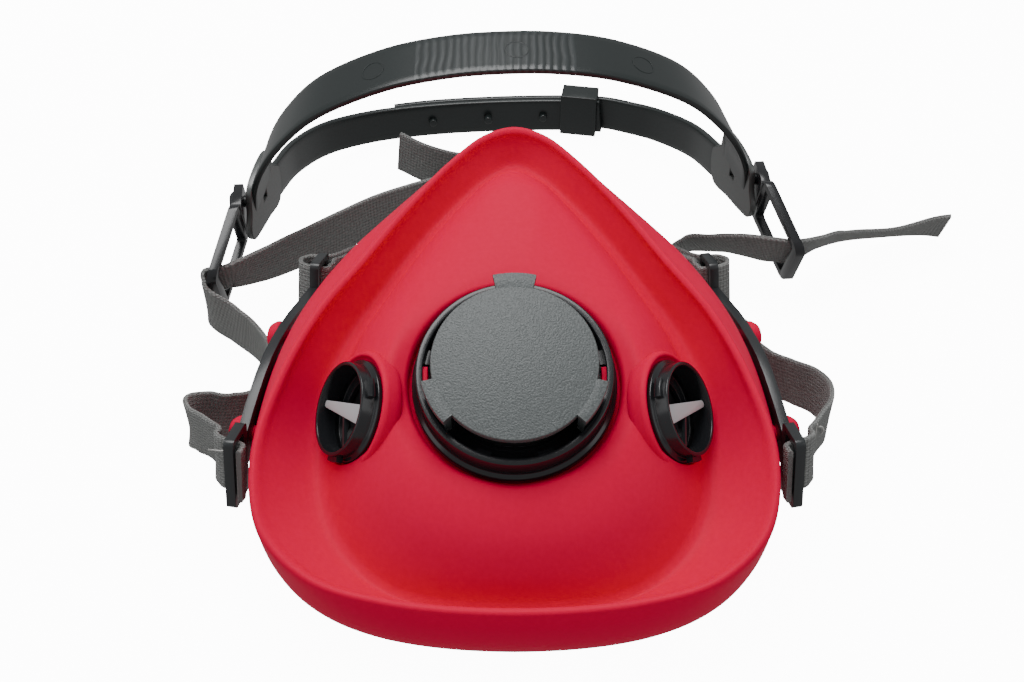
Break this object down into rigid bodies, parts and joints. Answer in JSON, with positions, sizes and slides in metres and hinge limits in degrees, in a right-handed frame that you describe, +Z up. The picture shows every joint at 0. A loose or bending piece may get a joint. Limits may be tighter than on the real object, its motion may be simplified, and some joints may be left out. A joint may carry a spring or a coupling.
{
  "type": "half-face respirator mask",
  "caption": "Silicone half-face respirator with central exhalation valve, two side filter ports, elastic harness straps and an adjustable plastic head cradle",
  "frame": {"origin": "centre of the bounding box in plan, at the level the face seal rests on", "axes": "+Z up off the table, +Y from the chin to the nose and the head cradle, +X to the wearer's left, to the right in the picture"},
  "size_m": [0.2176, 0.2136, 0.0762],
  "materials": {
    "silicone": "semi-gloss silicone",
    "black_plastic": "gloss",
    "charcoal_plastic": "fine grain",
    "grey_plastic": "smooth",
    "cradle_plastic": "satin",
    "flap_rubber": "matt",
    "webbing": "ribbed weave"
  },
  "bodies": {
    "mask": {"facepiece": "silicone", "exhalation_valve_seat": "black_plastic", "exhalation_clamp_ring": "black_plastic", "port_left": "black_plastic", "port_right": "black_plastic", "port_retainer_left": "grey_plastic", "port_retainer_right": "grey_plastic", "port_nut_left": "black_plastic", "port_nut_right": "black_plastic", "harness_bar_left": "black_plastic", "harness_bar_right": "black_plastic", "hanger_left": "black_plastic", "hanger_right": "black_plastic", "head_strap_left": "webbing", "head_strap_right": "webbing", "neck_strap_left": "webbing", "neck_strap_right": "webbing", "neck_clip_hook": "black_plastic", "neck_clip_eye": "black_plastic"},
    "valve_flap": {"exhalation_flap": "flap_rubber"},
    "cover": {"valve_cover": "charcoal_plastic"},
    "flap_left": {"inhalation_flap_left": "flap_rubber"},
    "flap_right": {"inhalation_flap_right": "flap_rubber"},
    "cradle": {"head_cradle": "cradle_plastic"}
  },
  "joints": [
    {"name": "exhalation_flap_lift", "type": "slide", "parent": "mask", "child": "valve_flap", "axis": [0, -0.342, 0.9397], "range_m": [0, 0.0012], "stiffness_N_per_m": 20},
    {"name": "inhalation_flap_lift_left", "type": "slide", "parent": "mask", "child": "flap_left", "axis": [0.815, 0.239, -0.5278], "range_m": [0, 0.0012], "stiffness_N_per_m": 20},
    {"name": "inhalation_flap_lift_right", "type": "slide", "parent": "mask", "child": "flap_right", "axis": [-0.815, 0.239, -0.5278], "range_m": [0, 0.0012], "stiffness_N_per_m": 20},
    {"name": "cover_pull", "type": "slide", "parent": "mask", "child": "cover", "axis": [0, -0.342, 0.9397], "range_m": [0, 0.01]},
    {"name": "cradle_tilt", "type": "hinge", "parent": "mask", "child": "cradle", "pos_m": [-0.02472, 0.03821, 0.0265], "axis": [0.9976, 0.0698, 0], "range_deg": [0, 15]}
  ]
}
